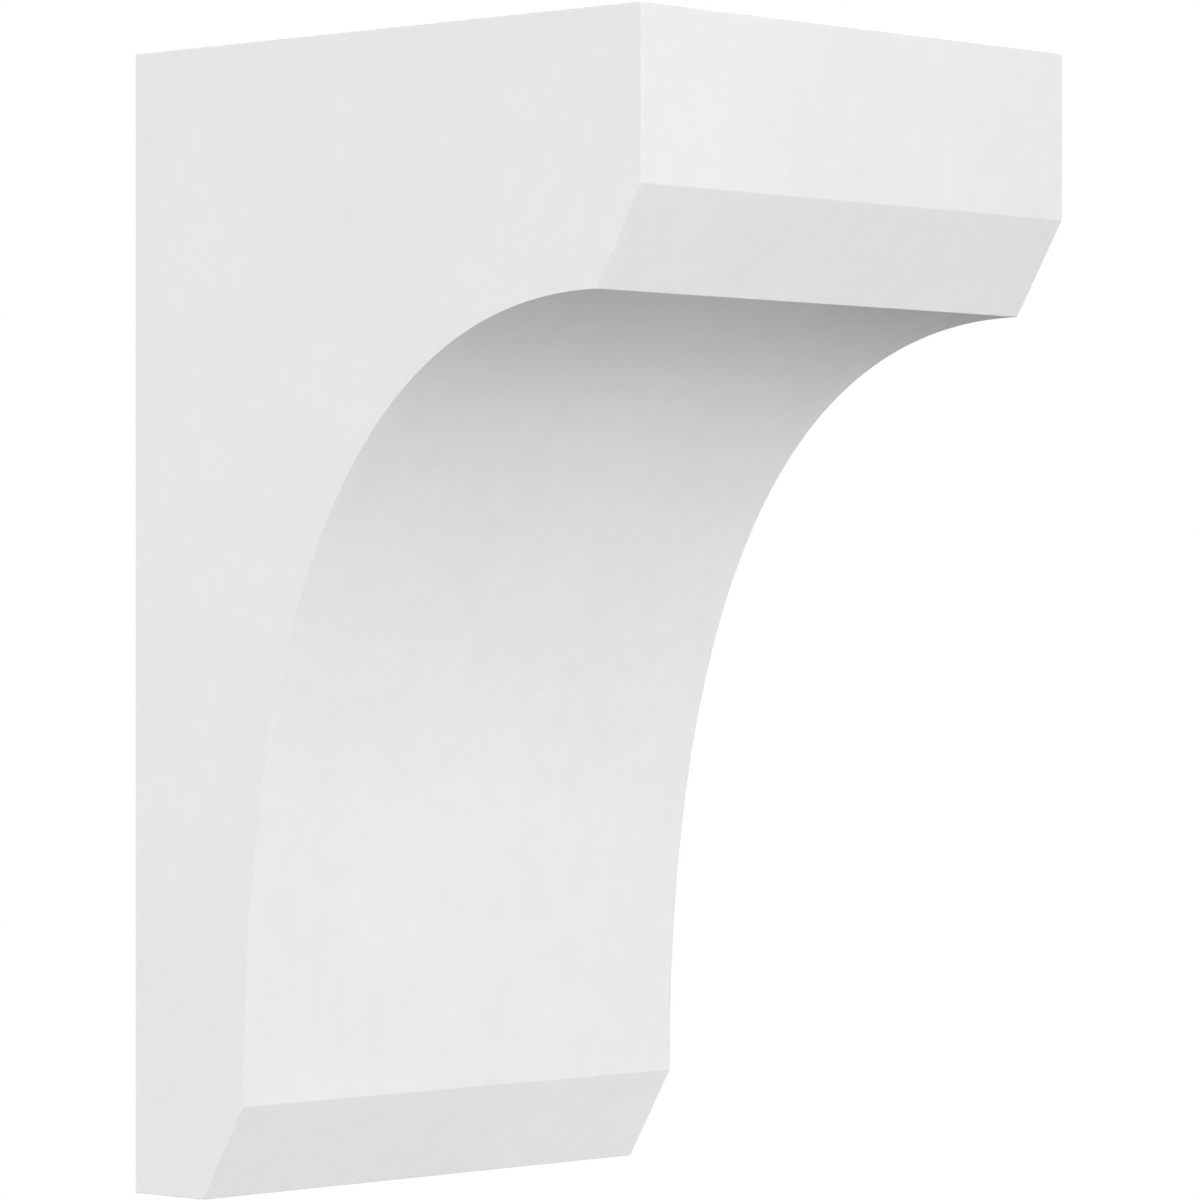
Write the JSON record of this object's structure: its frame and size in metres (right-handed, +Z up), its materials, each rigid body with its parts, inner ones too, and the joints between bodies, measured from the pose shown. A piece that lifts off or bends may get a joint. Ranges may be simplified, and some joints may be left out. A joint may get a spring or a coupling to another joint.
{
  "type": "corbel",
  "caption": "Plain block corbel with a flat back and top, a square nose, a long cove curving down its front and matching sloped cuts under the nose and at the foot.",
  "frame": {"origin": "centre of the flat wall face", "axes": "+Y out of the wall face into the wall, so the corbel stands out along -Y; +Z up the height; X across the width"},
  "size_m": [0.1396, 0.1524, 0.254],
  "materials": {
    "white_pvc": "matte, smooth, unpainted white"
  },
  "bodies": {
    "root": {"corbel": "white_pvc"}
  },
  "joints": []
}
